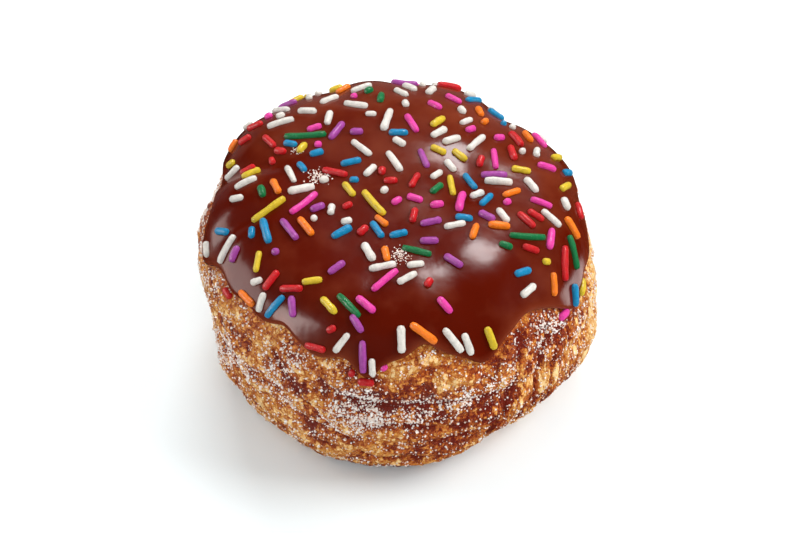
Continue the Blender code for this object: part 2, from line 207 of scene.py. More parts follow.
# Waves that push the dough's layers and lumps about: turns round, turns in 10 mm of height, phase, share
LAYER_WARP = each(
    Wave, (1, 0.05, 0.4, 0.42), (2, -0.11, 2.1, 0.30), (3, 0.16, 4.0, 0.22), (5, 0.1, 1.2, 0.12),
)
LUMPS = each(
    Wave, (5, 0.35, 0.3, 0.36), (8, -0.5, 1.9, 0.30), (11, 0.42, 3.3, 0.26), (13, -0.85, 5.2, 0.22),
    (3, 0.7, 2.6, 0.30), (17, 0.6, 0.9, 0.16),
)

# Places of the icing with no sprinkles, in plan: mm, mm, mm
BARE = each(
    Bare, (2, -33, 25), (-25, -21, 5), (-37, 3, 4), (-4, 37, 5), (30, 27, 4), (-31, 10, 4),
)
COLOUR_SHARES = {
    "white": 0.31, "blue": 0.17, "red": 0.12, "pink": 0.11, "yellow": 0.09, "orange": 0.08, "purple": 0.07,
    "green": 0.05,
}
# The sprinkles plainest to see: place in plan, mm, mm, then turn from +X in degrees and length in mm
LANDMARKS = {
    "green": ((-20.5, 15, 0, 10), (4.3, -21.7, -18, 6.5), (28, -15, 10, 8.7), (38, -14, -70, 8),
        (-9.9, -35, -47, 6.7), (8.7, -2.7, 52, 4.3)),
    "white": ((-26, 20, 12, 6.5), (-7.8, 10, -49, 6.4), (17.8, 13, 55, 6.5), (22.5, 1, -5, 6.5),
        (-2.2, 19.3, 78, 7.5), (-20.8, -3.3, 18, 6.3), (-36.5, -15, 50, 7), (1, -43, -88, 5.5),
        (12, -41.7, -45, 6.2), (-12, -43.4, 45, 5), (-3, -26, 15, 6), (-29.4, -31, 60, 4.2),
        (-23.3, 1.8, -72, 6.1), (-6, -22, -65, 5.2), (2.2, -29, 33, 4.8), (14.7, -40.5, -62, 4.8),
        (-9.3, 26, -25, 6)),
    "yellow": ((-27.8, -8.3, 33, 9.2), (-4.9, -7.8, -54, 8.3), (12, -1, -85, 6.7), (20.8, -41, -58, 5),
        (-29.5, -21.5, 80, 5), (-10.4, -3.6, -60, 5), (-17.7, -28.8, 5, 4.5), (-14, -34.5, -48, 4.8),
        (27.5, 5, -8, 4.5)),
    "pink": ((-20.2, -7.5, 48, 8.5), (3.4, 18, -68, 6.2), (-2.5, -29.5, 45, 7.5), (21.8, 8, -85, 6.3),
        (33, -14, 80, 5.8), (-6.4, -35, -40, 5), (10, -34.7, -48, 4.2)),
    "red": ((-13.6, 2.2, -21, 6.2), (36, -18, -88, 8.5), (-26.4, -26.6, 45, 5), (-17.6, -42.4, -18, 5),
        (25.8, 10.7, -80, 5.3), (-22, -29.6, -8, 5.4), (28, -10.5, -45, 5)),
    "orange": ((5.6, -40.5, -32, 6.6), (-19.5, -14.5, -55, 5.9), (25.2, -2.5, 30, 4.8),
        (-31.5, -27.5, -50, 5.5), (-26.3, -2.3, -70, 5), (-2.3, -22.5, -80, 4), (16.6, -16, 72, 4.6)),
    "blue": ((-28, -14.5, -75, 7), (-28, -35, 35, 6), (16.2, 1, -63, 5.5), (-10.1, 5.5, 15, 5),
        (26.5, -24.5, 28, 4.3), (-11.8, -16.3, 36, 5.2), (-4.2, -15.6, -60, 4.8)),
    "purple": ((-13.5, 16, 59, 6), (-23, -15, -56, 6.8), (-7, -43.5, 88, 6.7), (-8.2, -38.4, -58, 4.2),
        (6, 6.6, -70, 5.7), (12, -24.3, -38, 4.7), (-12.7, -26, 40, 4.5)),
}

# Where the crust is drawn out in streaks, and where in layers: degrees, mm, share, degrees, mm
STREAK_BANKS = each(
    Bank, (320, 20, 1.0, 26, 22), (350, 25, 0.7, 16, 22), (45, 24, 0.6, 24, 22), (150, 22, 0.5, 18, 22),
)
LAYER_BANKS = each(
    Bank, (270, 7, 0.9, 32, 8), (245, 16, 0.5, 12, 9), (100, 20, 0.7, 26, 16), (190, 8, 0.5, 22, 8),
    (12, 8, 0.6, 22, 8),
)
# Creases between the folded layers, from place to place on the side: degrees, mm, twice, then mm, mm
SEAMS = each(
    Seam, (235, 32, 263, 12, 0.9, 1.0), (250, 33, 261, 28, 0.7, 1.1), (262, 29, 298, 27.5, 0.55, 0.7),
    (266, 22, 301, 20, 0.6, 0.8), (306, 39, 294, 6, 0.8, 0.8), (317, 37, 305, 12, 0.6, 0.7),
    (327, 34, 316, 10, 0.6, 0.7), (341, 34, 333, 8, 0.5, 0.7), (262, 11, 300, 9, 0.6, 0.8),
    (206, 34, 224, 19, 0.6, 0.9), (20, 35, 44, 12, 0.8, 1.0), (60, 31, 86, 14, 0.8, 1.0),
    (98, 33, 128, 17, 0.8, 1.0), (140, 34, 168, 15, 0.8, 1.0), (172, 31, 203, 13, 0.7, 1.0),
    (352, 33, 10, 14, 0.6, 0.9), (70, 10, 120, 8, 0.6, 0.8),
)
# Where crumbs of crust stand out: degrees, mm, mm, degrees, mm
CRUMB_BANKS = each(
    Bank, (273, 2.5, 1.1, 13, 2.6), (243, 6, 0.6, 8, 5), (222, 20, 0.5, 8, 8), (312, 8, 0.4, 10, 6),
    (60, 6, 0.8, 20, 5), (150, 4, 0.8, 16, 4),
)
# Where the sugar lies thicker than elsewhere, or thinner: degrees, mm, share, degrees, mm
SUGAR_BANKS = each(
    Bank, (263, 23, 0.5, 12, 4), (262, 30, 0.25, 12, 4), (238, 22, 0.3, 8, 6), (214, 24, 0.4, 10, 7),
    (284, 29, 0.5, 12, 4), (318, 35, 0.2, 8, 4), (268, 8, -0.6, 26, 7), (246, 14, 0.25, 6, 3),
    (320, 14, -0.3, 26, 14), (227, 13, -0.4, 14, 9), (243, 26, -0.35, 6, 6), (288, 15, -0.2, 14, 6),
    (20, 24, 0.4, 20, 6), (75, 30, 0.4, 22, 6), (125, 20, 0.5, 22, 6), (165, 28, 0.4, 16, 7),
    (95, 10, 0.2, 26, 5),
)
# Sugar spilt on the icing, set on the spots of glare so that it also paints glints: place in plan, mm, mm,
# its spread in mm, and grains
POWDER_AND_GLINTS = each(PowderAndGlint, (-17.3, 1.2, 1.1, 150), (0.6, -22.8, 1.0, 110), (-22.2, 9.9, 0.7, 40))
# Where the crust is browned more than elsewhere, or stays pale: degrees, mm, share, degrees, mm
BROWN_BANKS = each(
    Bank, (308, 36, 0.8, 12, 5), (278, 26, 0.45, 16, 8), (296, 17, 0.5, 18, 8), (262, 29, 0.5, 14, 5),
    # The bank at 262 degrees and 1.5 mm darkens a thin band along the foot: painted shade where the doughnut
    # meets the floor
    (285, 4, 0.4, 26, 5), (262, 1.5, 0.9, 20, 2.2), (240, 31, 0.4, 6, 7), (346, 24, -0.75, 12, 14),
    (325, 20, -0.2, 9, 8), (252, 20, 0.2, 12, 8), (225, 14, -0.25, 16, 7), (15, 30, 0.3, 20, 8),
    (60, 18, 0.4, 22, 8), (110, 28, 0.4, 20, 7), (150, 12, -0.3, 22, 8), (35, 8, -0.3, 18, 6),
)
# Lamps that light the scene, then ones that are only mirrored: degrees, degrees, m, m, m, W and colour
LAMPS = each(
    Lamp,
    ("right", 3, 38, 0.9, 0.6, 0.5, 8.0, (1, 1, 1), False),
    ("back", 95, 38, 0.9, 0.5, 0.5, 6.0, (1, 1, 1), False),
    ("front", 262, 38, 1.0, 0.9, 0.7, 3.4, (1, 1, 1), False),
    ("left", 165, 35, 1.0, 0.6, 0.6, 2.5, (1, 1, 1), False),
    ("highlight", 63, 57, 0.9, 0.26, 0.26, 5.0, (1, 1, 1), True),
    ("left sheen", 172, 14, 0.8, 0.56, 0.42, 4.2, (1.0, 0.90, 0.86), True),
    ("low sheen", 207, 25, 0.7, 0.19, 0.33, 2.8, (1.0, 0.90, 0.86), True),
    ("right sheen", 17, -11, 0.6, 0.18, 0.15, 0.5, (1.0, 0.92, 0.90), True),
    ("rim sheen", 98, -2, 0.9, 1.5, 0.55, 0.55, (1.0, 0.90, 0.88), True),
)

# Short sprinkles seen among the others: place in plan, mm, mm, then turn from +X in degrees and length in mm
SMALL = {
    "white": ((12.5, -14.3, 15, 5), (4, -25.5, 10, 3.7), (-5, -44.5, 90, 3.7)),
    "pink": ((-2.6, -44.8, 0, 1.6),),
    "red": ((6.7, -30, 60, 2.3), (-13.4, -38.6, 20, 2.2), (-9.4, -44.6, 60, 1.8)),
    "orange": ((22, -13.5, 0, 5),),
    "blue": ((0.4, 14.6, 0, 4.3), (14.5, -12, -10, 4), (-31, -14, 90, 3), (38, -22, -65, 5)),
    "purple": ((7.4, -13.5, 15, 4.8), (-21.7, -33, -88, 4.5)),
}
# Short sprinkles of the crowded part: pixels across and down in the picture, turn in degrees, length in mm
SEEN = each(
    Seen, ("pink", 315, 128, 20, 3.6), ("purple", 356, 132, 0, 3), ("pink", 319, 145, 0, 1.8),
    ("blue", 290, 145, -20, 3.4), ("red", 281, 152, -20, 3), ("blue", 317, 154, 20, 3.5),
    ("red", 382, 171, 85, 2.2), ("blue", 354, 180, 0, 2.2), ("pink", 397, 202, 40, 2.6),
    ("white", 332, 210, 85, 3), ("red", 347, 206, 30, 2.5), ("white", 347, 222, 20, 2.6),
    ("orange", 382, 222, -45, 3.6), ("red", 363, 231, 50, 3), ("blue", 399, 234, 15, 4),
    ("red", 414, 216, 80, 4), ("purple", 430, 241, 0, 4), ("purple", 275, 252, 0, 1.8),
    ("white", 257, 282, 0, 3),
)
# Sprinkles fallen on the crust: degrees, mm from the crown, turn on the map in degrees, mm
STRAYS = (
    ("red", 262, 51.6, -8, 4), ("pink", 324, 50.6, 50, 4.4), ("red", 212, 48.6, -60, 3.6),
    ("yellow", 335, 49.8, 80, 5),
)


def smooth_step(value, start, end):
    """0 up to start, 1 from end, and a smooth rise between them."""
    share = np.clip((value - start) / (end - start), 0, 1)
    return share * share * (3 - 2 * share)


def turn_between(azimuth, other):
    """Smallest angle from other to azimuth, in degrees, from -180 to 180."""
    return (np.degrees(azimuth) - other + 180) % 360 - 180


def superellipse(angle, out, up, power):
    """Radii of a superellipse with those half widths, at angles from the one called up."""
    return ((np.sin(angle) / out) ** power + (np.cos(angle) / up) ** power) ** (-1 / power)


def outline():
    """The half outline, crown to base centre: length along it, radius, height, and its normal (out, up).

    It is a quarter of a superellipse for the dome, a quarter of another for the belly, and the flat base.
    """
    angle = np.linspace(0, np.pi / 2, 400)
    rise = HEIGHT - WIDEST_HEIGHT
    dome = superellipse(angle, WIDEST_RADIUS, rise, DOME_POWER)
    belly = superellipse(angle, WIDEST_HEIGHT, WIDEST_RADIUS - BASE_RADIUS, BELLY_POWER)
    flat = np.linspace(BASE_RADIUS, 0, 100)[1:]
    radius = np.concatenate([dome * np.sin(angle), BASE_RADIUS + (belly * np.cos(angle))[1:], flat])
    height = np.concatenate([
        WIDEST_HEIGHT + dome * np.cos(angle), WIDEST_HEIGHT - (belly * np.sin(angle))[1:], flat * 0,
    ])
    along = np.concatenate([[0], np.cumsum(np.hypot(np.diff(radius), np.diff(height)))])
    out = -np.gradient(height, along)
    up = np.gradient(radius, along)
    return along, radius, height, out, up


ALONG, RADIUS, RISE, OUT, UP = outline()
BASE_RIM = ALONG[-1] - BASE_RADIUS
EDGE_LEAST = np.interp(-EDGE_HEIGHT - 4 * MM, -RISE, ALONG)
WIDEST_ALONG = np.interp(-WIDEST_HEIGHT, -RISE, ALONG)


def skin(azimuth, along, proud):
    """Points of the doughnut's skin at that azimuth and length from the crown, raised by proud.

    The half outline is turned about +Z, drawn out into a slight oval, creased by the folds, raised by the
    bulges and swells, and leant over, so that the flat base stays flat.
    """
    radius = np.interp(along, ALONG, RADIUS)
    out = np.interp(along, ALONG, OUT)
    up = np.interp(along, ALONG, UP)
    oval = 1 + OVAL_SHARE * np.cos(2 * (azimuth - OVAL_TURN))
    for fold in FOLDS:
        across = np.exp(-(turn_between(azimuth, fold.azimuth) / fold.width) ** 2)
        middle = 0.5 * (fold.start + fold.end)
        down = smooth_step(along / MM, fold.start, middle) * (1 - smooth_step(along / MM, middle, fold.end))
        proud = proud - fold.depth * MM * across * down
    side = smooth_step(BASE_RIM - along, 0, BASE_CALM) * smooth_step(radius, *CROWN_CALM)
    for bulge in BULGES:
        away = (turn_between(azimuth, bulge.azimuth) / bulge.width) ** 2
        away = away + ((np.interp(along, ALONG, RISE) / MM - bulge.height) / bulge.tall) ** 2
        proud = proud + bulge.rise * MM * side * np.exp(-away)
    over = smooth_step(WIDEST_ALONG - along, 0, 0.3 * WIDEST_ALONG)
    x = radius * oval * np.cos(azimuth)
    y = radius * oval * np.sin(azimuth)
    for swell in SWELLS:
        away = ((x / MM - swell.x) ** 2 + (y / MM - swell.y) ** 2) / swell.width**2
        proud = proud + swell.rise * MM * over * np.exp(-away)
    radius = (radius + out * proud) * oval
    height = np.interp(along, ALONG, RISE) + up * proud
    x = radius * np.cos(azimuth)
    y = radius * np.sin(azimuth)
    return np.stack([x, y, np.maximum(height * (1 - LEAN * x / HEIGHT), 0)], axis=-1)


def icing_edge(azimuth):
    """Length from the crown to the icing's edge, which the drips lower and raise."""
    height = np.full(np.shape(azimuth), EDGE_HEIGHT)
    for drip in DRIPS:
        height = height - drip.drop * MM * np.exp(-(turn_between(azimuth, drip.azimuth) / drip.width) ** 2)
    return np.interp(-height, -RISE, ALONG)


def seat(inside):
    """Depth of the dough below the skin, that far inside the icing's edge, or outside it if negative."""
    under = LIP_THICKNESS / 2 + (ICING_THICKNESS - LIP_THICKNESS / 2) * smooth_step(inside, 0, SEAT_FADE)
    ledge = LIP_THICKNESS / 2 * (1 - smooth_step(-inside, 0, LEDGE_FADE))
    return np.where(inside > 0, under, ledge)


def waves(azimuth, height, rows):
    """Sum of waves that go a whole number of times round the doughnut and lean with height."""
    total = np.zeros(np.shape(azimuth))
    for wave in rows:
        total = total + wave.share * np.sin(
            wave.around * azimuth + 2 * np.pi * wave.up * height / (10 * MM) + wave.phase
        )
    return total


def dough_relief(azimuth, along, edge):
    """How far the bare dough stands proud: rounded layers and lumps, and none below the icing."""
    height = np.interp(along, ALONG, RISE)
    layer = np.mod(height / LAYER_PITCH + waves(azimuth, height, LAYER_WARP), 1)
    shelf = np.sin(np.pi * layer**0.7) - 0.5
    lump = waves(azimuth, height, LUMPS)
    shown = smooth_step(along - edge, 0, RELIEF_FADE) * smooth_step(BASE_RIM - along, 0, BASE_CALM)
    return shown * (LAYER_DEPTH * shelf + LUMP_DEPTH * lump)


def icing_top(azimuth, along):
    """The icing's upper face, rounded off by a quarter of a circle at its edge, with a slight ripple."""
    inside = np.maximum(icing_edge(azimuth) - along, 0)
    lip = np.sqrt(np.clip(1 - (1 - inside / LIP_RADIUS) ** 2, 0, 1))
    lip = np.where(inside > LIP_RADIUS, 1, lip)
    floor = ICING_GAP - seat(inside)
    crown = LIP_THICKNESS / 2 * (1 - smooth_step(inside, 0, SEAT_FADE))
    map_place = np.stack([along * np.cos(azimuth), along * np.sin(azimuth), 0 * along], axis=-1) / MM
    ripple = RIPPLE_DEPTH * smooth_step(inside, 0, RIPPLE_FADE) * lumps(map_place, *RIPPLE_FIELD)
    return skin(azimuth, along, floor + lip * (crown - floor) + ripple)


def icing_underside(azimuth, along):
    """The icing's lower face, a gap above the dough."""
    inside = np.maximum(icing_edge(azimuth) - along, 0)
    return skin(azimuth, along, ICING_GAP - seat(inside))


def lumps(place, size, seed):
    """A smooth random field from -1 to 1 at those places.

    Each corner of a cubic lattice of that size has a random value, and the eight round a place are blended
    by a smooth step along each axis.
    """
    table = np.random.default_rng(seed).uniform(-1, 1, FIELD_VALUES)
    cell = np.floor(place / size)
    share = place / size - cell
    share = share * share * (3 - 2 * share)
    cell = cell.astype(np.int64)
    total = np.zeros(place.shape[:-1])
    for corner in np.ndindex(2, 2, 2):
        at = cell + np.array(corner)
        value = table[(at @ FIELD_STEPS) % FIELD_VALUES]
        weight = np.where(np.array(corner) == 1, share, 1 - share).prod(axis=-1)
        total = total + weight * value
    return total


def banks(azimuth, height, rows):
    """Sum of soft patches on the side, each a bell curve round its azimuth and height."""
    total = np.zeros(np.shape(azimuth))
    for bank in rows:
        away = (turn_between(azimuth, bank.azimuth) / bank.width) ** 2
        away = away + ((height / MM - bank.height) / bank.tall) ** 2
        total = total + bank.share * np.exp(-away)
    return total


def creases(azimuth, height, wobble):
    """How near the seams are, from 0 to 1 in the seam, and the relief they make, in mm.

    A seam's relief is a bell-shaped groove along a straight line on the side unrolled, with the dough above
    it raised like the edge of a layer.
    """
    near = np.zeros(np.shape(azimuth))
    relief = np.zeros(np.shape(azimuth))
    for seam in SEAMS:
        across = np.radians(turn_between(azimuth, seam.azimuth)) * GIRTH + wobble[..., 0]
        down = height / MM - seam.height + wobble[..., 1]
        turn = turn_between(np.radians(seam.end_azimuth), seam.azimuth)
        line = np.array([np.radians(turn) * GIRTH, seam.end_height - seam.height])
        length = np.hypot(*line)
        share = (across * line[0] + down * line[1]) / length**2
        side = (down * line[0] - across * line[1]) / length * np.sign(line[0])
        bell = np.exp(-(np.hypot(side, (share - np.clip(share, 0, 1)) * length) / seam.width) ** 2)
        raised = np.exp(-((side - 2.2) / 1.6) ** 2) * smooth_step(share, -0.1, 0.15)
        raised = raised * smooth_step(1.1 - share, 0, 0.25)
        near = np.maximum(near, bell)
        relief = relief + seam.depth * (0.45 * raised - bell)
    return near, relief


def crust(azimuth, along, lift=0.0):
    """Points of the crust, how brown it is with painted shade and light from its relief, and how far it is
    drawn out in streaks, both from 0 to 1.

    The plain dough is puffed: each field is the size of a random field, so that its zeros make sharp creases
    between round swellings. One is drawn out down the side, one round it, and one is even, and banks say
    which is strongest where. Banks of heat are browner. Creases, seams and low parts of the relief are
    darker, as painted shade, and swellings and raised parts paler, as painted light.
    """
    edge = icing_edge(azimuth)
    height = np.interp(along, ALONG, RISE)
    broad = dough_relief(azimuth, along, edge)
    place = skin(azimuth, along, broad) / MM
    warp = np.stack([lumps(place, *field) for field in WARP_FIELDS], axis=-1)
    place = place + 1.5 * warp
    down = along / MM + 1.2 * warp[..., 2]
    lean = azimuth + STREAK_LEAN * down / GIRTH + 0.9 * warp[..., 0] / GIRTH
    ring = np.stack([np.cos(lean), np.sin(lean)], axis=-1) * GIRTH
    streaks = np.concatenate([ring, down[..., None] / 5.5], axis=-1)
    layers = np.concatenate([ring / 5, down[..., None]], axis=-1)
    share = np.clip(0.15 + banks(azimuth, height, STREAK_BANKS), 0, 1)
    level = np.clip(0.25 + banks(azimuth, height, LAYER_BANKS), 0, 1) * (1 - share)
    puff = share * puffed(streaks, *STREAK_FIELD) + level * puffed(layers, *LAYER_FIELD)
    puff = puff + (1 - share - level) * puffed(place, *PUFF_FIELD)
    shown = smooth_step(along - edge, 0.2 * MM, 2.2 * MM) * smooth_step(BASE_RIM - along, -1 * MM, 1.5 * MM)
    near, folded = creases(azimuth, height, 1.4 * warp)
    fine = PUFF_DEPTH * (2.4 * puff - 0.85) + GRAIN_DEPTH * lumps(place, *GRAIN_FIELD) + folded
    crumb = np.clip(lumps(place, *CRUMB_FIELD), 0.1, 1) * banks(azimuth, height, CRUMB_BANKS)
    fine = np.clip(fine, -1.4, 0.6) + crumb
    points = skin(azimuth, along, broad - seat(edge - along) + (shown * fine + lift) * MM)
    heat = banks(azimuth, height, BROWN_BANKS)
    # Browning from the banks of heat, plus painted shade and light: darker in creases and low relief, paler
    # on swellings and raised relief
    brown = 0.44 + 0.36 * heat + 0.55 * np.exp(-puff / 0.085) - 0.5 * (puff - 0.3) - 0.2 * broad / MM
    # Seams painted darker, as painted shade; crumbs browner
    brown = brown + 0.4 * near + 0.35 * crumb
    for weight, *field in TONE_FIELDS:
        brown = brown + weight * lumps(place, *field)
    return points, np.clip(brown, 0, 1), share


def puffed(place, size, seed):
    """Round swellings of about that size with smaller ones on them, from 0 in the creases to about 1."""
    large = np.abs(lumps(place, size, seed)) ** 0.8
    small = np.abs(lumps(place, 0.47 * size, seed + 1)) ** 0.8
    return 0.62 * large + 0.38 * small


def unrolled(x, y):
    """Where the place x, y of the top, in plan, lands on the icing's map, in mm."""
    azimuth = np.arctan2(y, x)
    oval = 1 + OVAL_SHARE * np.cos(2 * (azimuth - OVAL_TURN))
    above = ALONG < WIDEST_ALONG
    along = np.interp(np.hypot(x, y) * MM / oval, RADIUS[above], ALONG[above]) / MM
    return np.array([along * np.cos(azimuth), along * np.sin(azimuth)])


def spine(sprinkle, shares):
    """The sprinkle's middle line on the map: a straight line, or a bow where it is bent."""
    turn = np.radians(sprinkle.turn)
    way = np.array([np.cos(turn), np.sin(turn)])
    across = np.array([-way[1], way[0]])
    bow = sprinkle.bend * (1 - 4 * shares**2)
    return sprinkle.place + np.outer(shares * sprinkle.length, way) + np.outer(bow, across)


def inside_edge(line):
    """Least distance of those places of the map inside the icing's edge, in mm."""
    edge = icing_edge(np.arctan2(line[:, 1], line[:, 0])) / MM
    return (edge - np.hypot(line[:, 0], line[:, 1])).min()


def apart(line, taken):
    """Least distance between those two sets of places of the map, in mm."""
    return np.hypot(*(line[:, None] - taken[None]).transpose(2, 0, 1)).min()


def on_bare(place):
    """Whether a place of the map lies on icing with no sprinkles."""
    return any(np.hypot(*(place - unrolled(row.x, row.y))) <= row.radius for row in BARE)


def random_place(draw, patch_share, reach):
    """A random place of the map, and whether it was picked in the crowded patch."""
    if draw.random() < patch_share:
        return unrolled(*draw.normal(PATCH_PLACE, PATCH_WIDTH)), True
    return draw.uniform(-reach, reach, 2), False


def random_colour(draw):
    """A sprinkle's colour, by the colours' shares."""
    return str(draw.choice(list(COLOUR_SHARES), p=list(COLOUR_SHARES.values())))


def scatter():
    """All the sprinkles, longest first: the landmarks, then random ones wherever there is room for one."""
    shares = np.linspace(-0.5, 0.5, 5)
    placed = []
    for colour, group in LANDMARKS.items():
        for x, y, turn, length in group:
            bend = LONG_BEND * length if length > LONG_LENGTH else 0
            made = Sprinkle(colour, unrolled(x, y), turn, length, bend)
            over = max(LANDMARK_MARGIN - inside_edge(spine(made, shares)), 0)
            placed.append(made._replace(place=made.place * (1 - over / np.hypot(*made.place))))
    taken = np.concatenate([spine(sprinkle, shares) for sprinkle in placed])
    draw = np.random.default_rng(SPRINKLE_SEED)
    reach = ALONG[RISE > EDGE_HEIGHT][-1] / MM + 3
    for _ in range(SPRINKLE_TRIES):
        place, crowded = random_place(draw, PATCH_SHARE, reach)
        spacing = SPRINKLE_SPACING * (CROWDING if crowded else 1)
        colour = random_colour(draw)
        length = draw.triangular(SPRINKLE_LENGTHS[0], USUAL_LENGTH, SPRINKLE_LENGTHS[1])
        bend = length * np.clip(draw.normal(-0.03, 0.07), 0, 0.11)
        made = Sprinkle(colour, place, draw.uniform(-90, 90), length, bend)
        line = spine(made, shares)
        clear = apart(line, taken) > spacing and not on_bare(place)
        if clear and inside_edge(line) > SPRINKLE_MARGIN:
            placed.append(made)
            taken = np.concatenate([taken, line])
    return sorted(placed, key=lambda sprinkle: -sprinkle.length)


def small_ones(placed):
    """The short and broken sprinkles among those: the seen ones, then random ones where there is room."""
    shares = np.linspace(-0.5, 0.5, 5)
    taken = np.concatenate([spine(sprinkle, shares) for sprinkle in placed])
    wanted = []
    for colour, group in SMALL.items():
        wanted += [Sprinkle(colour, unrolled(x, y), turn, length, 0) for x, y, turn, length in group]
    for row, place in zip(SEEN, seen_places()):
        wanted.append(Sprinkle(row.colour, place, row.turn, row.length, 0))
    draw = np.random.default_rng(BIT_SEED)
    reach = ALONG[RISE > EDGE_HEIGHT][-1] / MM
    for _ in range(BIT_TRIES):
        place, _ = random_place(draw, BIT_PATCH_SHARE, reach)
        colour = random_colour(draw)
        wanted.append(Sprinkle(colour, place, draw.uniform(-90, 90), draw.uniform(*BIT_LENGTHS), 0))
    added = []
    for index, made in enumerate(wanted):
        line = spine(made, shares)
        seen = index < len(wanted) - BIT_TRIES
        clear = seen or (inside_edge(line) > SPRINKLE_MARGIN and not on_bare(made.place))
        if clear and apart(line, taken) > (SEEN_SPACING if seen else BIT_SPACING):
            added.append(made)
            taken = np.concatenate([taken, line])
    for colour, azimuth, along, turn, length in STRAYS:
        place = along * np.array([np.cos(np.radians(azimuth)), np.sin(np.radians(azimuth))])
        added.append(Sprinkle(colour, place, turn, length, 0))
    return added


def on_icing(line):
    """Points of the icing's upper face at those places of the map, with its normals there."""

    def at(shift):
        place = (line + shift) * MM
        return icing_top(np.arctan2(place[:, 1], place[:, 0]), np.hypot(place[:, 0], place[:, 1]))

    step = 0.4
    across = at((step, 0)) - at((-step, 0))
    away = at((0, step)) - at((0, -step))
    normal = np.cross(across, away)
    return at((0, 0)), normal / np.linalg.norm(normal, axis=1)[:, None]


def in_picture(points):
    """Where the camera sees points in metres, in pixels across and down.

    Each is the distance off the camera's axis over the depth, times the lens over the sensor's width.
    """
    up = np.array([0, np.sin(VIEW_TILT), np.cos(VIEW_TILT)])
    away = points - MIDDLE - VIEW_DISTANCE * VIEW_WAY
    scale = PICTURE_WIDTH * VIEW_LENS / SENSOR_WIDTH / -(away @ VIEW_WAY)
    across = (0.5 - VIEW_SHIFT[0]) * PICTURE_WIDTH + away[:, 0] * scale
    down = 0.5 * PICTURE_HEIGHT + VIEW_SHIFT[1] * PICTURE_WIDTH - (away @ up) * scale
    return np.stack([across, down], axis=-1)


def seen_places():
    """The places of the icing's map, in mm, that lie under the pixels of the seen short sprinkles."""
    steps = np.arange(-SEEN_REACH, SEEN_REACH, SEEN_STEP)
    net = np.stack(np.meshgrid(steps, steps), axis=-1).reshape(-1, 2)
    net = net[np.hypot(net[:, 0], net[:, 1]) < SEEN_REACH]
    pixels = in_picture(on_icing(net)[0])
    return [net[np.hypot(*(pixels - (row.across, row.down)).T).argmin()] for row in SEEN]


def rod(sprinkle, radius, draw):
    """Points of one sprinkle, ring by ring, as an array of rings, sides and 3.

    Circles round its middle line, whose radius follows a blunt superellipse towards each end and varies a
    little on the way, as pressed sugar does.
    """
    shares = -0.5 * np.cos(np.linspace(0, np.pi, ROD_RINGS))
    blunt = min(radius / MM / sprinkle.length, 0.5)
    ends = np.clip((np.abs(shares) - 0.5 + blunt) / blunt, 0, 1)
    middle, normal = on_icing(spine(sprinkle, shares))
    along = np.gradient(middle, axis=0)
    side = np.cross(normal, along)
    side = side / np.linalg.norm(side, axis=1)[:, None]
    girth = radius * np.sqrt(1 - ends**END_POWER) * (1 + draw.normal(0, 0.04, ROD_RINGS))
    girth[[0, -1]] = 0.02 * radius
    middle = middle + normal * radius * (1 - 2 * SPRINKLE_SINK)
    turn = (np.arange(ROD_SIDES) * 2 * np.pi / ROD_SIDES)[:, None, None]
    out = np.cos(turn) * normal[None] + np.sin(turn) * side[None]
    return (middle[None] + girth[None, :, None] * out).transpose(1, 0, 2)


def ring_faces(rings, sides):
    """Quads between successive rings of points, each ring joined round, as rows of four indices."""
    row, column = np.meshgrid(np.arange(rings - 1), np.arange(sides), indexing="ij")
    after = (column + 1) % sides
    above, below = row * sides, (row + 1) * sides
    corners = [above + column, below + column, below + after, above + after]
    return np.stack(corners, axis=-1).reshape(-1, 4)


def cap_faces(start, sides, pole, inward):
    """Triangles from a ring of points, whose first index is start, to one pole."""
    column = np.arange(sides)
    after = (column + 1) % sides
    pair = (start + after, start + column) if inward else (start + column, start + after)
    return np.stack([np.full(sides, pole), *pair], axis=-1)


def both_caps(count, sides):
    """Triangles that close both ends of a tube of that many points, whose two poles follow them."""
    first = cap_faces(0, sides, count, False)
    return np.concatenate([first, cap_faces(count - sides, sides, count + 1, True)])


def add_mesh(name, points, quads, triangles, attributes):
    """A mesh object at the origin, smooth, with those faces and its values at points, by name."""
    mesh = bpy.data.meshes.new(name)
    loops = np.concatenate([np.ravel(quads), np.ravel(triangles)]).astype(np.int32)
    sizes = np.concatenate([np.full(len(quads), 4), np.full(len(triangles), 3)])
    mesh.vertices.add(len(points))
    mesh.vertices.foreach_set("co", np.ascontiguousarray(points, np.float32).ravel())
    mesh.loops.add(len(loops))
    mesh.loops.foreach_set("vertex_index", loops)
    mesh.polygons.add(len(sizes))
    mesh.polygons.foreach_set("loop_start", (np.cumsum(sizes) - sizes).astype(np.int32))
    mesh.polygons.foreach_set("loop_total", sizes.astype(np.int32))
    for key, values in attributes.items():
        layer = mesh.attributes.new(key, "FLOAT", "POINT")
        layer.data.foreach_set("value", np.ascontiguousarray(values, np.float32))
    mesh.update(calc_edges=True)
    mesh.validate()
    mesh.shade_smooth()
    made = bpy.data.objects.new(name, mesh)
    bpy.context.scene.collection.objects.link(made)
    return made


NO_TRIANGLES = np.zeros((0, 3), int)


def add_globe(name, points, attributes):
    """A closed piece from rings of points, whose first and last ring are each one point repeated."""
    rings, sides = points.shape[:2]
    inner = points[1:-1].reshape(-1, 3)
    whole = np.concatenate([inner, points[:1, 0], points[-1:, 0]])
    values = {}
    for key, field in attributes.items():
        values[key] = np.concatenate([field[1:-1].ravel(), field[:1, 0], field[-1:, 0]])
    quads = ring_faces(rings - 2, sides)
    return add_mesh(name, whole, quads, both_caps(len(inner), sides), values)


def sign(operation, swapped=False):
    """A method of Link that works out one sign of a sum by a Math node."""

    def work_out(self, other):
        return self.math(operation, other, self) if swapped else self.math(operation, self, other)

    return work_out


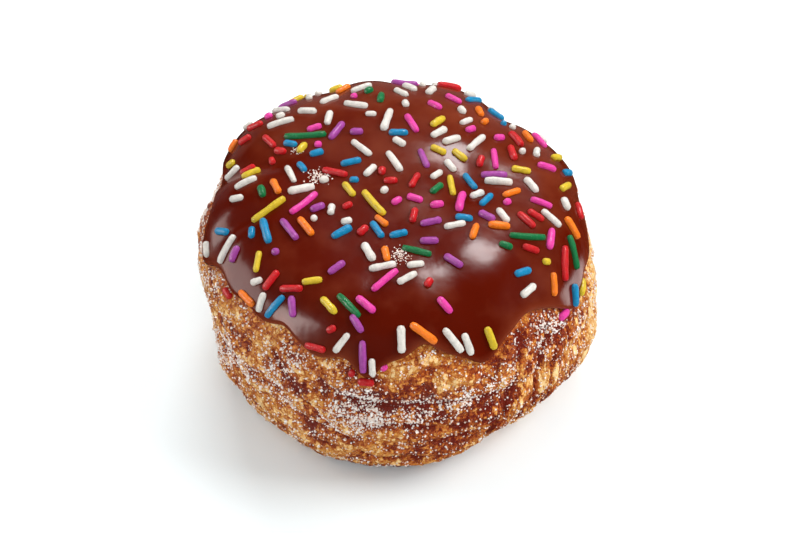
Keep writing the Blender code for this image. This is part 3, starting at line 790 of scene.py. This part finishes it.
class Link:
    """A shader socket that takes part in sums: each operator adds the Math node that works it out."""

    def __init__(self, tree, socket):
        self.tree = tree
        self.socket = socket

    def math(self, operation, *values, held=False):
        node = self.tree.nodes.new("ShaderNodeMath")
        node.operation = operation
        node.use_clamp = held
        for socket, value in zip(node.inputs, values):
            connect(self.tree, socket, value)
        return Link(self.tree, node.outputs[0])

    __add__, __radd__ = sign("ADD"), sign("ADD", True)
    __sub__, __rsub__ = sign("SUBTRACT"), sign("SUBTRACT", True)
    __mul__, __rmul__ = sign("MULTIPLY"), sign("MULTIPLY", True)

    def size(self):
        """The value without its sign."""
        return self.math("ABSOLUTE", self)

    def held(self):
        """The value kept between 0 and 1."""
        return self.math("ADD", self, 0.0, held=True)


def connect(tree, socket, value):
    """Links a Link to the socket, or sets it to a plain value."""
    if isinstance(value, Link):
        tree.links.new(value.socket, socket)
    elif isinstance(value, tuple) and socket.type == "RGBA":
        socket.default_value = (*value[:3], 1)
    else:
        socket.default_value = value


class Finish:
    """A material with one Principled BSDF, whose fixed values are set on the shader's own sockets."""

    def __init__(self, name, fixed):
        self.made = bpy.data.materials.new(name)
        self.made.use_nodes = True
        self.tree = self.made.node_tree
        self.shader = self.tree.nodes["Principled BSDF"]
        for key, value in fixed.items():
            connect(self.tree, self.shader.inputs[key], value)

    def add(self, kind, settings=None, inputs=None, output=0):
        """Any node: its type, its settings or a ramp's stops, and the values or links of its sockets."""
        node = self.tree.nodes.new(kind)
        for key, value in (settings or {}).items():
            if key == "stops":
                ramp = node.color_ramp
                while len(ramp.elements) < len(value):
                    ramp.elements.new(0.5)
                for element, (position, colour) in zip(ramp.elements, value):
                    element.position = position
                    element.color = (*colour, 1)
            else:
                setattr(node, key, value)
        for key, value in (inputs or {}).items():
            connect(self.tree, node.inputs[key], value)
        return Link(self.tree, node.outputs[output])

    def place(self):
        """Object coordinates, in metres."""
        return self.add("ShaderNodeTexCoord", output=3)

    def noise(self, size, detail=3.0, roughness=0.55, stretch=(1, 1, 1)):
        """Random field from 0 to 1, whose lumps measure about size, in metres, drawn out by stretch."""
        mapped = self.add("ShaderNodeMapping", inputs={"Vector": self.place(), "Scale": Vector(stretch)})
        inputs = {"Vector": mapped, "Scale": 1 / size, "Detail": detail, "Roughness": roughness}
        return self.add("ShaderNodeTexNoise", inputs=inputs)

    def value(self, name):
        """A value kept at the mesh's points."""
        return self.add("ShaderNodeAttribute", {"attribute_name": name}, output=2)

    def mix(self, factor, first, second):
        """First colour at 0, second at 1."""
        return self.add("ShaderNodeMix", {"data_type": "RGBA"}, {0: factor, 6: first, 7: second}, 2)

    def feed(self, values):
        """Links the shader's varying sockets."""
        for key, value in values.items():
            connect(self.tree, self.shader.inputs[key], value)

    def bump(self, height, distance, strength=1.0):
        inputs = {"Height": height, "Distance": distance, "Strength": strength}
        self.feed({"Normal": self.add("ShaderNodeBump", inputs=inputs)})


def dough_finish(colours):
    """Fried crust: gold on the ridges and red-brown in the hollows, partly painted light and shade, cracks
    painted darker as shade, fine dark and pale specks, and sugar dust whose white specks also paint glints.
    """
    finish = Finish("sugared crust", {"Specular IOR Level": 0.22})
    streak = finish.value("streak")
    even = finish.noise(1.5 * MM, 4.0, 0.65)
    drawn = finish.noise(1.1 * MM, 4.0, 0.65, (1, 1, 0.17))
    fibre = even + streak * (drawn - even)
    mottle = finish.noise(3.2 * MM, 4.0, 0.7)
    speck = finish.noise(0.6 * MM, 2.0, 0.6)
    # The cracks are painted darker, as painted shade in the grooves
    shaded_crack = (1 - (fibre - 0.5).size() * 13).held() * 0.34 + (1 - (mottle - 0.5).size() * 16).held() * 0.18
    tone = finish.value("brown") - 0.16 + shaded_crack + 1.4 * (fibre - 0.5) + 0.7 * (mottle - 0.5)
    tone = (tone + 0.8 * (speck - 0.5)).held()
    stops = (
        (0.0, tuple(colours.crust_pale)), (0.27, tuple(colours.crust_gold)),
        (0.56, tuple(colours.crust_brown)), (0.86, tuple(colours.crust_dark)),
    )
    colour = finish.add("ShaderNodeValToRGB", {"stops": stops}, {"Fac": tone})
    dust = finish.value("sugar")
    grains = finish.noise(0.30 * MM, 1.0, 0.4)
    # White specks of sugar dust, which also paint the crust's small glints
    white = ((grains - 0.72 + 0.12 * dust) * 14).held()
    finish.feed({
        "Base Color": finish.mix(white * 0.8, colour, tuple(colours.sugar)),
        "Roughness": (0.55 - 0.25 * tone + 0.1 * white).held(),
    })
    finish.bump(fibre * 0.6 + speck * 0.4 + mottle * 0.5 + white * 0.35 - shaded_crack, 0.5 * MM, 1.0)
    return finish.made


def sugar_finish(colours):
    """Sugar grains: white to clear, so that some take the crust's colour."""
    finish = Finish("sugar grains", {"Roughness": 0.25, "Specular IOR Level": 0.6})
    clear = finish.value("clear")
    speck = finish.noise(0.3 * MM, 1.0)
    tone = (clear + 0.3 * (speck - 0.5)).held()
    finish.feed({"Base Color": finish.mix(tone, tuple(colours.sugar), tuple(colours.sugar_clear))})
    return finish.made


def icing_finish(colours):
    """Set chocolate icing: dark and glossy, lighter where it is thin at the edge and, as a painted sheen,
    towards the back, with faint swirls.
    """
    finish = Finish("chocolate icing", {"Specular IOR Level": 0.5, "IOR": 1.33})
    thin = finish.value("thin")
    swirl = finish.noise(9 * MM, 3.0, 0.5, (1, 1, 0.6))
    fine = finish.noise(1.6 * MM, 3.0, 0.5)
    tone = ((swirl - 0.5) + 0.12 * (fine - 0.5) + 0.9 * thin).held()
    finish.feed({
        "Base Color": finish.mix(tone, tuple(colours.icing_deep), tuple(colours.icing_light)),
        "Roughness": (0.1 + 0.12 * swirl + 0.05 * fine).held(),
    })
    finish.bump(swirl + 0.12 * fine, 0.5 * MM, 0.3)
    return finish.made


def sprinkle_finish(name, colour):
    """Pressed sugar: one colour, paler where it is rubbed, with fine pits under a soft shine."""
    finish = Finish(f"{name} sprinkle", {"Specular IOR Level": 0.3, "Coat Roughness": 0.1})
    patch = finish.noise(1.2 * MM, 3.0, 0.6)
    pit = finish.noise(0.35 * MM, 2.0, 0.6)
    pale = tuple(0.88 * channel + 0.12 for channel in colour)
    deep = tuple(0.72 * channel for channel in colour)
    ramp = finish.mix((patch * 2.2 - 0.6).held(), deep, tuple(colour))
    finish.feed({
        "Base Color": finish.mix(((pit - 0.56) * 5).held() * 0.3, ramp, pale),
        "Roughness": (0.28 + 0.25 * patch).held(),
        "Coat Weight": (0.4 - 0.3 * pit).held(),
    })
    finish.bump(pit + 0.6 * patch, 0.2 * MM, 0.9)
    return finish.made


def floor_finish():
    """Plain pale board with the faintest mottle."""
    finish = Finish("pale board", {"Roughness": 0.9, "Specular IOR Level": 0.1})
    mottle = finish.noise(60 * MM, 2.0)
    finish.feed({"Base Color": finish.mix(mottle, (0.855, 0.92, 0.935), (0.875, 0.94, 0.955))})
    return finish.made


def colour_property(name, description, default):
    """A colour that a user can pick, as linear red, green and blue."""
    return FloatVectorProperty(
        name=name, description=description, subtype="COLOR", size=3, min=0, max=1, default=default
    )


class DoughnutSizes(bpy.types.PropertyGroup):
    """Sizes that can change without changing the doughnut's form."""

    sprinkle_radius: FloatProperty(
        name="Sprinkle radius", description="Half the thickness of a sprinkle", default=0.82 * MM,
        min=0.5 * MM, max=1.2 * MM, precision=5, subtype="DISTANCE", unit="LENGTH",
    )
    grain_size: FloatProperty(
        name="Sugar grain", description="Mean side of a sugar grain", default=0.25 * MM,
        min=0.2 * MM, max=1 * MM, precision=5, subtype="DISTANCE", unit="LENGTH",
    )
    grains: IntProperty(
        name="Sugar grains", description="How many grains lie on the crust", default=16000, min=0, max=16000,
    )


class DoughnutColours(bpy.types.PropertyGroup):
    """Colours of the doughnut's surfaces."""

    crust_pale: colour_property("Crust, pale", "Dough that fried least", (0.90, 0.61, 0.28))
    crust_gold: colour_property("Crust, gold", "Ridges of the crust", (0.72, 0.30, 0.050))
    crust_brown: colour_property("Crust, brown", "Well fried crust", (0.46, 0.092, 0.012))
    # Shows mostly in hollows, creases and seams, where the darkness is painted shade
    crust_dark: colour_property("Crust, dark", "Hollows and folds", (0.17, 0.014, 0.006))
    sugar: colour_property("Sugar", "Sugar grains and dust", (0.90, 0.87, 0.84))
    sugar_clear: colour_property(
        "Sugar, clear", "Grains that show the crust through them", (0.72, 0.47, 0.33)
    )
    icing_deep: colour_property("Icing", "Thick chocolate icing", (0.082, 0.0042, 0.0005))
    # Also the colour of the painted sheen towards the icing's back
    icing_light: colour_property("Icing, thin", "Thin edge of the icing", (0.20, 0.038, 0.014))
    white: colour_property("White", "White sprinkles", (0.73, 0.69, 0.63))
    blue: colour_property("Blue", "Blue sprinkles", (0.0005, 0.23, 0.46))
    red: colour_property("Red", "Red sprinkles", (0.55, 0.006, 0.010))
    pink: colour_property("Pink", "Pink sprinkles", (0.77, 0.045, 0.34))
    yellow: colour_property("Yellow", "Yellow sprinkles", (0.68, 0.48, 0.02))
    orange: colour_property("Orange", "Orange sprinkles", (0.90, 0.19, 0.004))
    purple: colour_property("Purple", "Purple sprinkles", (0.36, 0.055, 0.32))
    green: colour_property("Green", "Green sprinkles", (0.002, 0.165, 0.045))


class DOUGHNUT_OT_crust(bpy.types.Operator):
    """Makes the dough's crust, with its layers, creases, browning and painted shade in its hollows."""

    bl_idname = "doughnut.crust"
    bl_label = "Crust"

    def execute(self, context):
        side = (EDGE_LEAST, BASE_RIM + 2 * MM)
        along = np.concatenate([
            np.linspace(0, side[0], CRUST_ENDS)[:-1],
            np.linspace(*side, CRUST_DOWN)[:-1],
            np.linspace(side[1], ALONG[-1], CRUST_ENDS),
        ])
        azimuth, along = np.meshgrid(np.linspace(0, 2 * np.pi, CRUST_ROUND, endpoint=False), along)
        points, brown, streak = crust(azimuth, along)
        values = {"brown": brown, "streak": streak, "sugar": sugar_share(azimuth, along)}
        made = add_globe("dough_crust", points, values)
        made.data.materials.append(dough_finish(context.scene.doughnut_colours))
        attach(made, "root")
        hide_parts("dough")
        return {"FINISHED"}


def sugar_share(azimuth, along):
    """How thickly sugar lies, from 0 to 1: patches, banks, and none below the icing or on the base."""
    height = np.interp(along, ALONG, RISE)
    place = skin(azimuth, along, 0 * along) / MM
    patch = 0.15
    for weight, *field in PATCH_FIELDS:
        patch = patch + weight * lumps(place, *field)
    patch = patch + banks(azimuth, height, SUGAR_BANKS)
    outside = smooth_step(along - icing_edge(azimuth), 0.3 * MM, 1.2 * MM)
    return np.clip(patch, 0.05, 1) * outside * smooth_step(BASE_RIM - along, -1 * MM, 1.5 * MM)


class DOUGHNUT_OT_sugar(bpy.types.Operator):
    """Scatters sugar grains on the crust, and a few on the icing that also paint glints there, as small
    boxes turned at random.
    """

    bl_idname = "doughnut.sugar"
    bl_label = "Sugar grains"

    def execute(self, context):
        sizes = context.scene.doughnut_sizes
        draw = np.random.default_rng(SUGAR_SEED)
        many = sizes.grains * 8
        azimuth = draw.uniform(0, 2 * np.pi, many)
        along = draw.uniform(EDGE_LEAST, BASE_RIM + 1 * MM, many)
        share = sugar_share(azimuth, along)
        kept = np.flatnonzero(draw.random(many) < 0.06 * (share > 0) + share**2)[:sizes.grains]
        middle, _, _ = crust(azimuth[kept], along[kept], 0.06)
        thick = share[kept]
        # Sugar on the icing, which also paints its glints
        for glint_powder in POWDER_AND_GLINTS:
            line = unrolled(glint_powder.x, glint_powder.y) + draw.normal(0, glint_powder.spread, (glint_powder.grains, 2))
            middle = np.concatenate([middle, on_icing(line)[0]])
            thick = np.concatenate([thick, np.full(glint_powder.grains, -1.0)])
        count = len(middle)
        corner = np.array([(x, y, z) for z in (-1, 1) for y in (-1, 1) for x in (-1, 1)]) / 2
        uneven = np.clip(np.exp(draw.normal(0, 0.3, (count, 1, 1))), 0.5, 2)
        side = sizes.grain_size * (0.9 + 0.2 * thick[:, None, None]) * uneven
        box = corner[None] * side * draw.uniform(0.7, 1.25, (count, 1, 3))
        spin = np.linalg.qr(draw.normal(size=(count, 3, 3)))[0]
        spin = spin * np.linalg.det(spin)[:, None, None]
        points = middle[:, None] + box @ spin
        points[..., 2] = np.maximum(points[..., 2], 0.02 * MM)
        face = np.array([(0, 2, 3, 1), (4, 5, 7, 6), (0, 1, 5, 4), (2, 6, 7, 3), (0, 4, 6, 2), (1, 3, 7, 5)])
        quads = (face[None] + 8 * np.arange(count)[:, None, None]).reshape(-1, 4)
        clear = np.repeat(draw.beta(1.2, 2.2, count), 8)
        made = add_mesh("sugar_grains", points.reshape(-1, 3), quads, NO_TRIANGLES, {"clear": clear})
        made.data.shade_flat()
        made.data.materials.append(sugar_finish(context.scene.doughnut_colours))
        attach(made, "root")
        return {"FINISHED"}


class DOUGHNUT_OT_icing(bpy.types.Operator):
    """Lays the chocolate icing: its top, its rounded lobed edge and its underside."""

    bl_idname = "doughnut.icing"
    bl_label = "Chocolate icing"

    def execute(self, context):
        azimuth = np.linspace(0, 2 * np.pi, ICING_ROUND, endpoint=False)
        edge = icing_edge(azimuth)
        lip = 1 - np.cos(np.linspace(0, np.pi / 2, ICING_LIP))
        reach = np.linspace(0, 1, ICING_DOWN)[:-1]
        over = np.concatenate([
            reach[:, None] * (edge - LIP_RADIUS), edge - LIP_RADIUS * lip[::-1, None],
        ])
        below = edge * np.linspace(1, 0, ICING_UNDER)[1:, None]
        wide = np.broadcast_to(azimuth, over.shape)
        top = icing_top(wide, over)
        under = icing_underside(np.broadcast_to(azimuth, below.shape), below)
        inside = np.concatenate([edge - over, edge - below])
        points = np.concatenate([top, under])
        # Lighter where the icing is thin at the edge, and painted lighter towards the back, a painted sheen
        back = smooth_step(points[..., 1] + 0.4 * points[..., 0], *PAINTED_BACK_SHEEN)
        thin = np.exp(-inside / THIN_RIM) + 0.4 * back
        made = add_globe("chocolate_icing", points, {"thin": thin})
        made.data.materials.append(icing_finish(context.scene.doughnut_colours))
        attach(made, "root")
        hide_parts("icing")
        return {"FINISHED"}


class DOUGHNUT_OT_sprinkles(bpy.types.Operator):
    """Sets all the sprinkles in the icing, one piece for each colour."""

    bl_idname = "doughnut.sprinkles"
    bl_label = "Sprinkles"

    def execute(self, context):
        radius = context.scene.doughnut_sizes.sprinkle_radius
        draw = np.random.default_rng(ROD_SEED)
        rods = {colour: [] for colour in COLOUR_SHARES}
        placed = scatter()
        for sprinkle in placed + small_ones(placed):
            girth = radius * np.clip(draw.normal(1, 0.06), 0.85, 1.12)
            rods[sprinkle.colour].append(rod(sprinkle, girth, draw))
        for colour, group in rods.items():
            points = np.stack(group)
            count = len(points)
            inner = points[:, 1:-1].reshape(count, -1, 3)
            whole = np.concatenate([inner, points[:, :1, 0], points[:, -1:, 0]], axis=1)
            step = whole.shape[1]
            quads = ring_faces(ROD_RINGS - 2, ROD_SIDES)
            caps = both_caps(step - 2, ROD_SIDES)
            first = step * np.arange(count)[:, None, None]
            made = add_mesh(
                f"sprinkles_{colour}", whole.reshape(-1, 3), (quads + first).reshape(-1, 4),
                (caps + first).reshape(-1, 3), {},
            )
            shade = tuple(getattr(context.scene.doughnut_colours, colour))
            made.data.materials.append(sprinkle_finish(colour, shade))
            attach(made, "root")
            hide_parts("icing")
        return {"FINISHED"}


def aim(made, place, target):
    """Puts a lamp or the camera there, looking at the target."""
    made.location = place
    made.rotation_euler = (Vector(target) - Vector(place)).to_track_quat("-Z", "Y").to_euler()


class DOUGHNUT_OT_stage(bpy.types.Operator):
    """Sets up the pale floor, the soft lamps and the camera."""

    bl_idname = "doughnut.stage"
    bl_label = "Stage"

    def execute(self, context):
        corners = FLOOR_REACH * np.array([(-1, -1, 0), (1, -1, 0), (1, 1, 0), (-1, 1, 0)], float)
        floor = add_mesh("floor", corners, np.array([[0, 1, 2, 3]]), NO_TRIANGLES, {})
        floor.data.materials.append(floor_finish())
        floor.visible_glossy = False
        for lamp in LAMPS:
            data = bpy.data.lights.new(lamp.name, "AREA")
            data.shape = "RECTANGLE"
            data.size = lamp.width
            data.size_y = lamp.height
            data.energy = lamp.power
            data.color = lamp.colour
            made = bpy.data.objects.new(lamp.name, data)
            made.visible_diffuse = not lamp.mirrored
            made.visible_glossy = lamp.mirrored
            azimuth, tilt = np.radians((lamp.azimuth, lamp.tilt))
            way = np.array([np.cos(tilt) * np.cos(azimuth), np.cos(tilt) * np.sin(azimuth), np.sin(tilt)])
            aim(made, MIDDLE + lamp.distance * way, MIDDLE)
            context.scene.collection.objects.link(made)
        world = bpy.data.worlds.new("studio air")
        world.use_nodes = True
        air = world.node_tree.nodes["Background"].inputs
        air["Color"].default_value = (1, 1, 1, 1)
        air["Strength"].default_value = AIR_STRENGTH
        world.cycles_visibility.glossy = False
        context.scene.world = world
        view = bpy.data.cameras.new("camera")
        view.sensor_width = SENSOR_WIDTH
        view.lens = VIEW_LENS
        view.shift_x, view.shift_y = VIEW_SHIFT
        camera = bpy.data.objects.new("camera", view)
        aim(camera, MIDDLE + VIEW_DISTANCE * VIEW_WAY, MIDDLE)
        context.scene.collection.objects.link(camera)
        context.scene.camera = camera
        context.scene.view_settings.view_transform = "Standard"
        return {"FINISHED"}


class DOUGHNUT_PT_panel(bpy.types.Panel):
    """Lists the doughnut's sizes, colours and steps."""

    bl_label = "Iced Doughnut"
    bl_idname = "DOUGHNUT_PT_panel"
    bl_space_type = "VIEW_3D"
    bl_region_type = "UI"
    bl_category = "Doughnut"

    def draw(self, context):
        for group in (context.scene.doughnut_sizes, context.scene.doughnut_colours):
            box = self.layout.box()
            for key in group.__annotations__:
                box.prop(group, key)
        for operator in OPERATORS:
            self.layout.operator(operator.bl_idname)


OPERATORS = (
    DOUGHNUT_OT_crust, DOUGHNUT_OT_sugar, DOUGHNUT_OT_icing, DOUGHNUT_OT_sprinkles, DOUGHNUT_OT_stage,
)
CLASSES = (DoughnutSizes, DoughnutColours, *OPERATORS, DOUGHNUT_PT_panel)


def register():
    for made in CLASSES:
        bpy.utils.register_class(made)
    bpy.types.Scene.doughnut_sizes = PointerProperty(type=DoughnutSizes)
    bpy.types.Scene.doughnut_colours = PointerProperty(type=DoughnutColours)


def unregister():
    del bpy.types.Scene.doughnut_colours
    del bpy.types.Scene.doughnut_sizes
    for made in reversed(CLASSES):
        bpy.utils.unregister_class(made)


def main():
    register()
    bpy.ops.doughnut.crust()
    bpy.ops.doughnut.sugar()
    bpy.ops.doughnut.icing()
    bpy.ops.doughnut.sprinkles()
    bpy.ops.doughnut.stage()


if __name__ == "__main__":
    main()
